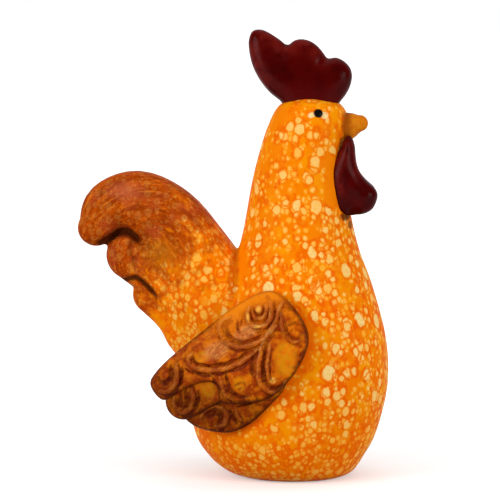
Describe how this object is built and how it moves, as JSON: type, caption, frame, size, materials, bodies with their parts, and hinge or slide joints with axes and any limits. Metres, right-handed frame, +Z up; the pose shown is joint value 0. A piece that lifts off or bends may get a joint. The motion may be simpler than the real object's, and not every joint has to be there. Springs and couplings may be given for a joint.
{
  "type": "rooster ornament",
  "caption": "Standing rooster ornament in glazed ceramic, with a lobed comb, short beak, hanging wattles, carved wings and a swept plume tail.",
  "frame": {"origin": "middle of the figure's overall footprint, on the table it stands on", "axes": "+Z up, +X the way the beak points, -Y the bird's right side"},
  "size_m": [0.1396, 0.094, 0.199],
  "materials": {
    "glaze": "glossy mottled glaze",
    "tail_wash": "satin brown wash over glaze",
    "wing_stain": "satin stain, dark in the carving",
    "oxblood": "satin gloss",
    "beak_ochre": "satin gloss",
    "black_enamel": "gloss",
    "bare_clay": "unglazed"
  },
  "bodies": {
    "root": {"body_right_half": "glaze", "body_left_half": "glaze", "base_slab": "bare_clay", "tail_upper_plume": "tail_wash", "tail_middle_plume": "tail_wash", "tail_lower_plume": "tail_wash", "comb": "oxblood", "beak": "beak_ochre", "wattle_right": "oxblood", "wattle_left": "oxblood", "eye_right": "black_enamel", "eye_left": "black_enamel", "wing_right_cover": "wing_stain", "wing_right_middle_feather": "wing_stain", "wing_right_lower_feather": "wing_stain", "wing_left_cover": "wing_stain", "wing_left_middle_feather": "wing_stain", "wing_left_lower_feather": "wing_stain"}
  },
  "joints": []
}
